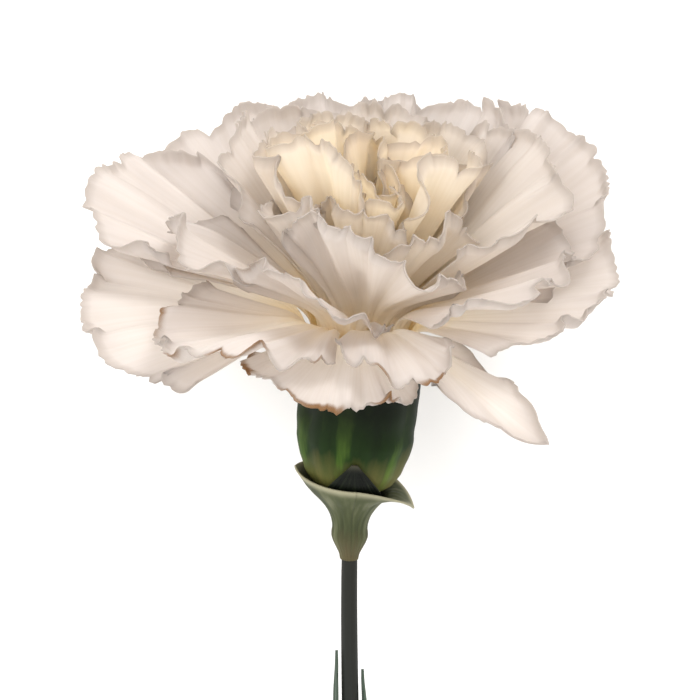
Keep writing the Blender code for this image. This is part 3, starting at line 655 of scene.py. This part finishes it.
def tubePoints(middle, radius, sides, ripple=0.0):  # rings round a path in the flower frame
    tangent = np.gradient(middle, axis=0)
    tangent = tangent / np.linalg.norm(tangent, axis=1, keepdims=True)
    outward = np.cross(tangent, np.array([1.0, 0.0, 0.0]))
    outward = outward / np.linalg.norm(outward, axis=1, keepdims=True)
    sideways = np.cross(outward, tangent)
    turn = np.linspace(0, 1, sides, endpoint=False)
    ring = radius[:, None] * (1.0 + ripple * np.cos(turn * math.tau * 6))[None, :]
    ring = ring[..., None]
    return (middle[:, None, :] + ring * np.cos(turn * math.tau)[None, :, None] * sideways[:, None, :]
            + ring * np.sin(turn * math.tau)[None, :, None] * outward[:, None, :])


def stemPiece(material):
    rises, radii = np.array(stem["receptacle"]).T
    distances = np.concatenate([np.linspace(13, 148.6, 260), [149.0, 149.4, 149.7, 149.9, 150.0]])
    below = np.concatenate([[-rises[0]], -rises, distances, [150.0, 150.0, 150.0]]) * mm
    bare = stemRadius(distances * mm)
    bare[-5:] *= np.array([1.0, 0.99, 0.97, 0.93, 0.88])  # the cut's edge is slightly crushed
    radius = np.concatenate([[0.0], radii * mm, bare, np.array([1.2, 0.6, 0.0]) * mm])
    below[-3:] -= np.array([0.05, 0.12, 0.15]) * mm
    rows = len(below)
    pith = np.zeros((rows, 1))  # pale and dry where it was cut
    pith[-4:, 0] = (0.4, 0.8, 1.0, 1.0)
    piece = gridPiece("stem_stalk", inModel(tubePoints(stemMiddle(below), radius, 48, 0.012), nod=0.0), {
        "turn": np.linspace(0, 1, 48, endpoint=False)[None, :] + 0.0 * pith,
        "along": np.clip(below / (stem["length"] * mm), 0, 1)[:, None], "dried": pith,
    }, closed=True)
    closePoles(piece)
    finishPiece(piece, "stem", material, "stem")


leaves = {  # node, azimuth, length, width, stand-off of middle and tip, fall of the tip
    "leaf_upper_left": (0, 172, 22.8, 3.0, -0.3, -0.7, 0.0),
    "leaf_upper_right": (0, -8, 19.6, 2.8, -0.3, -0.7, 0.0),
    "leaf_lower_left": (1, 160, 64.0, 5.0, 11.0, 34.0, 5.0),
    "leaf_lower_right": (1, -14, 60.0, 4.8, 13.0, 36.0, 5.4),
}


def leafPiece(name, material, ribs):
    node, azimuthAt, length, width, middleOff, tipOff, fall = leaves[name]
    azimuth = math.radians(azimuthAt)
    outwards = np.array([math.cos(azimuth), 0.0, math.sin(azimuth)])
    sideways = np.array([-math.sin(azimuth), 0.0, math.cos(azimuth)])
    start = stem["nodes"][node] * mm
    reach = math.sqrt(length ** 2 - tipOff ** 2) * mm
    clasp = float(stemRadius(start)) + 0.55 * mm
    along = np.linspace(0, 1, 140)
    across = np.linspace(-1, 1, 25)
    middle = stemMiddle(start - reach * along)
    middle[:, 2] -= fall * mm * along ** 2.5
    standOff = (middleOff * 2.0 * along * (1.0 - along) + tipOff * along ** 2) * mm
    outline = np.minimum(1.0, 0.35 + 0.9 * along) * np.clip((1.0 - along) * 2.2, 0.0, 1.0) ** 0.8
    halfWidth = width * mm / 2 * np.maximum(outline, 0.05)
    halfWidth = halfWidth + 1.6 * mm * (1.0 - smoothStep(along / 0.12))
    channel = clasp + 7.0 * mm * smoothStep(along / 0.35)
    turn = across[None, :] * (halfWidth / channel)[:, None]
    keel = 0.25 * mm * np.exp(-(across / 0.12) ** 2)[None, :] * smoothStep((1.0 - along) / 0.3)[:, None]
    out = (clasp + standOff)[:, None] - channel[:, None] * (1.0 - np.cos(turn)) + keel
    side = channel[:, None] * np.sin(turn)
    points = middle[:, None, :] + out[..., None] * outwards + side[..., None] * sideways
    piece = gridPiece(name + "_blade", inModel(points, nod=0.0), {
        "turn": (across[None, :] + 1) / 2 + 0.0 * along[:, None], "along": along[:, None] + 0.0 * across[None, :],
        "ribbed": smoothStep((1.0 - along) / 0.1)[:, None] + 0.0 * across[None, :],
    })
    useTree(piece, ribs, material, Height=0.05 * mm, Count=8.0, Sharpness=1.5)
    thicken(piece, 0.42)
    finishPiece(piece, "leaf", material, name)


pistil = {
    "ovary": ((14.0, 0.0), (13.9, 0.5), (13.0, 1.1), (11.5, 1.75), (9.5, 2.15), (7.5, 2.2), (5.6, 1.9),
              (4.8, 1.4), (4.8, 0.0)),
    "styleRises": (14.3, 31.0), "styleRadius": 0.32, "apart": 0.55, "spread": 0.35, "wave": 0.25,
}


def ovaryPiece(material):
    path = throughPoints(pistil["ovary"], np.linspace(0, 1, 60)) * mm
    turn = np.linspace(0, 1, 48, endpoint=False)[None, :]
    radius = np.maximum(path[:, 1:2], 0.0) * (1.0 + 0.03 * np.cos(turn * math.tau * 5))
    piece = gridPiece("ovary_wall", inModel(around(radius, turn * math.tau, path[:, 0:1] + 0.0 * turn)), {
        "turn": turn + 0.0 * radius, "along": np.linspace(0, 1, 60)[:, None],
    }, closed=True)
    closePoles(piece)
    finishPiece(piece, "pistil", material, "ovary")


def stylePiece(name, side, material):
    share = np.linspace(0, 1, 60)
    rises = between(pistil["styleRises"], share) * mm
    sway = side * (pistil["apart"] + pistil["spread"] * share ** 2) * mm
    middle = np.stack([sway, rises, pistil["wave"] * mm * np.sin(4.0 * share + side)], axis=-1)
    radius = pistil["styleRadius"] * mm * (1.0 - 0.45 * share ** 2)
    radius[0] = radius[-1] = 0.0
    piece = gridPiece(name + "_thread", inModel(tubePoints(middle, radius, 16)), {
        "turn": np.linspace(0, 1, 16, endpoint=False)[None, :], "along": share[:, None],
    }, closed=True)
    closePoles(piece)
    finishPiece(piece, "pistil", material, name)


# floor and light

studio = {"sky": 1.32, "key": 7.8, "fill": 4.0}


def softLight(name, place, size, power):
    light = bpy.data.lights.new(name, "AREA")
    light.size = size
    light.energy = power
    lamp = bpy.data.objects.new(name, light)
    lamp.matrix_world = Vector(place).to_track_quat("Z", "Y").to_matrix().to_4x4()
    lamp.location = place
    bpy.context.scene.collection.objects.link(lamp)


def makeStudio():
    bpy.ops.mesh.primitive_plane_add(size=6.0, location=(0, 0, 0))
    floor = bpy.context.object
    floor.name = "floor"
    floor.data.materials.append(paintedBoardMaterial())
    world = bpy.data.worlds.new("studioSky")
    bpy.context.scene.world = world
    world.use_nodes = True
    world.node_tree.nodes["Background"].inputs[0].default_value = hexColour("#FFFFFF")
    world.node_tree.nodes["Background"].inputs[1].default_value = studio["sky"]
    softLight("keySoftbox", (0.4, 1.0, 0.62), 0.5, studio["key"])
    softLight("fillSoftbox", (-0.6, 0.35, 0.8), 0.6, studio["fill"])
    bpy.context.scene.view_settings.view_transform = "Standard"


makeCamera()
makeStudio()
print("camera, floor and light ready")

petalTissue = petalTissueMaterial()
wrinkles = wrinkleTree()
for index in range(petals["count"]):
    petalPiece(index, petalTissue, wrinkles)
print("petals ready")

# the calyx's last number, 0.9, is painted shade darkening the top of the cup beside the bloom
waxyCalyx = greenTissueMaterial("waxyCalyx", "#060B03", "#1C330C", "#6E9032", "#78733F", 0.6, 0.0, 12.0, 0.9)
dryBract = greenTissueMaterial("dryBract", "#282E1E", "#4E5338", "#86866B", "#5F553C", 0.6, 0.0, 5.0)
# the inner pair of bracts is coloured near-black: painted shade standing in for the shadowed gap between the cup and
# the collar
paintedShadeBract = greenTissueMaterial("paintedShadeBract", "#040604", "#0C100A", "#20261A", "#14180F", 0.5, 0.0, 7.0)
glaucousStem = greenTissueMaterial("glaucousStem", "#1B1E1D", "#252827", "#323634", "#2C2B26", 0.6, 0.0, 16.0)
glaucousLeaf = greenTissueMaterial("glaucousLeaf", "#36423A", "#4A574C", "#6C7A6B", "#3C463E", 0.5, 0.1, 18.0)
pistilTissue = greenTissueMaterial("pistilTissue", "#CFC893", "#DDD7A8", "#ECE7C4", "#C9C98C", 0.4, 0.2, 10.0)
ribs = ribTree()
calyxPiece(waxyCalyx, ribs)
for name in bracts["scales"]:
    bractPiece(name, paintedShadeBract if "upper" in name else dryBract, ribs)
print("calyx and bracts ready")

stemPiece(glaucousStem)
for name in leaves:
    leafPiece(name, glaucousLeaf, ribs)
ovaryPiece(pistilTissue)
stylePiece("style_left", -1.0, pistilTissue)
stylePiece("style_right", 1.0, pistilTissue)
print("stem, leaves and pistil ready")
